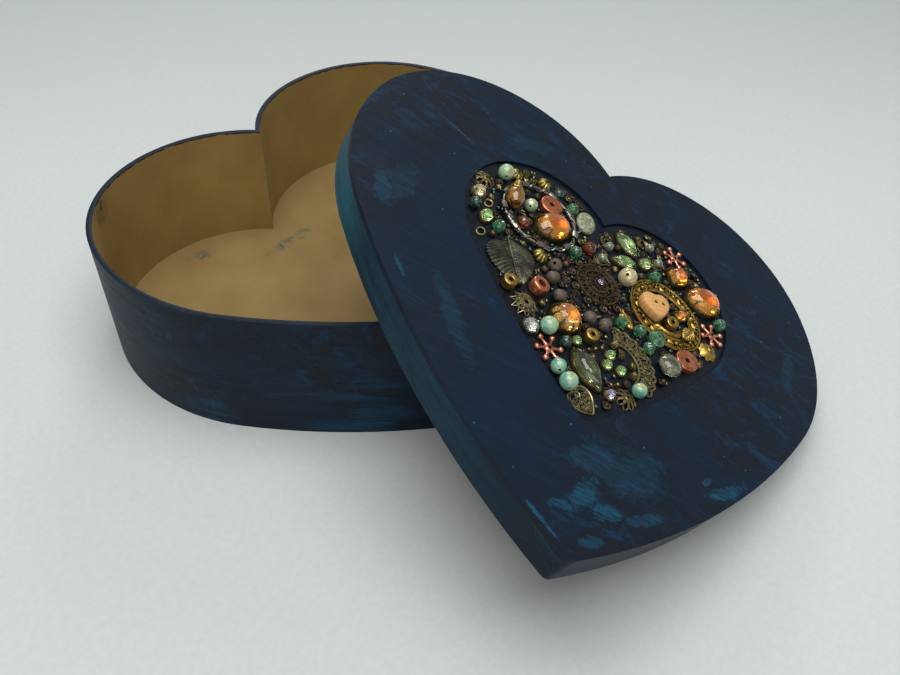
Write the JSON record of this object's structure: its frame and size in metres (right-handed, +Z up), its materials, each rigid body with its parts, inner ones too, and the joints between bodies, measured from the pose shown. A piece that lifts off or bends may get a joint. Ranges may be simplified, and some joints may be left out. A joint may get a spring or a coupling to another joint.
{
  "type": "trinket box",
  "caption": "Heart-shaped card trinket box with a loose rimmed lid that leans open on the base; a heart of beads, cut stones and brass charms is set in the lid.",
  "frame": {"origin": "on the table plane under the base, midway between the centres of its two lobes", "axes": "+Z up, the base's tip points to -Y and its cleft to +Y"},
  "size_m": [0.1672, 0.2185, 0.0842],
  "materials": {
    "amazonite": "satin",
    "antique_brass": "satin",
    "amber_glass": "gloss",
    "kraft_card": "matte",
    "painted_card": "satin",
    "brown_glass": "gloss",
    "carved_stone": "matte",
    "clear_glass": "gloss",
    "copper": "satin",
    "dark_glass": "gloss",
    "dark_wood": "satin",
    "clear_glue": "gloss",
    "gold_pearl": "pearl",
    "green_glass": "gloss",
    "green_pearl": "pearl",
    "honey_glass": "gloss",
    "peridot_glass": "gloss",
    "dark_metal": "satin",
    "silver_wire": "satin",
    "wood": "satin"
  },
  "bodies": {
    "base": {"base_floor": "kraft_card", "base_wall": "painted_card", "base_wall_liner": "kraft_card", "base_floor_card": "kraft_card"},
    "lid": {"amazonite_beads": "amazonite", "amber_round_setting": "antique_brass", "amber_round_stone": "amber_glass", "amber_settings": "antique_brass", "amber_stones": "amber_glass", "bead_bars": "antique_brass", "brass_daisy_cap": "antique_brass", "brass_tube_beads": "antique_brass", "brown_crystals": "brown_glass", "bud_beads": "antique_brass", "carved_disc": "carved_stone", "champagne_cup": "antique_brass", "champagne_rhinestone": "clear_glass", "clear_cup": "antique_brass", "clear_rhinestone": "clear_glass", "copper_stars": "copper", "copper_tube": "copper", "copper_washers": "copper", "dark_crystals": "dark_glass", "dark_wood_beads": "dark_wood", "filigree_fan": "antique_brass", "flower_caps": "antique_brass", "glue_bed": "clear_glue", "gold_leaf": "antique_brass", "gold_pearl": "gold_pearl", "green_crystals": "green_glass", "green_pearl": "green_pearl", "grey_nugget": "clear_glass", "heart_charm": "antique_brass", "honey_bead": "honey_glass", "honey_bead_cap": "antique_brass", "inlay_card": "painted_card", "large_green_crystal": "green_glass", "large_navette_setting": "antique_brass", "large_navette_stone": "peridot_glass", "lavender_cup": "antique_brass", "lavender_rhinestone": "clear_glass", "leaf_charm": "antique_brass", "lid_liner": "kraft_card", "lid_rim": "painted_card", "lid_top": "painted_card", "link_rings": "antique_brass", "melon_caps": "antique_brass", "navette_settings": "antique_brass", "navette_stones": "peridot_glass", "oval_frame": "antique_brass", "peridot_settings": "antique_brass", "peridot_stones": "peridot_glass", "rosette_medallion": "dark_metal", "rosette_stone": "peridot_glass", "scroll_filigree": "antique_brass", "scroll_pearls": "green_pearl", "small_amazonite_beads": "amazonite", "star_cap": "antique_brass", "wire_ring": "silver_wire", "wooden_heart_button": "wood"}
  },
  "joints": [
    {"name": "lid_lift", "type": "slide", "parent": "base", "child": "lid", "axis": [0, 0, 1], "range_m": [0, 0.1]}
  ]
}
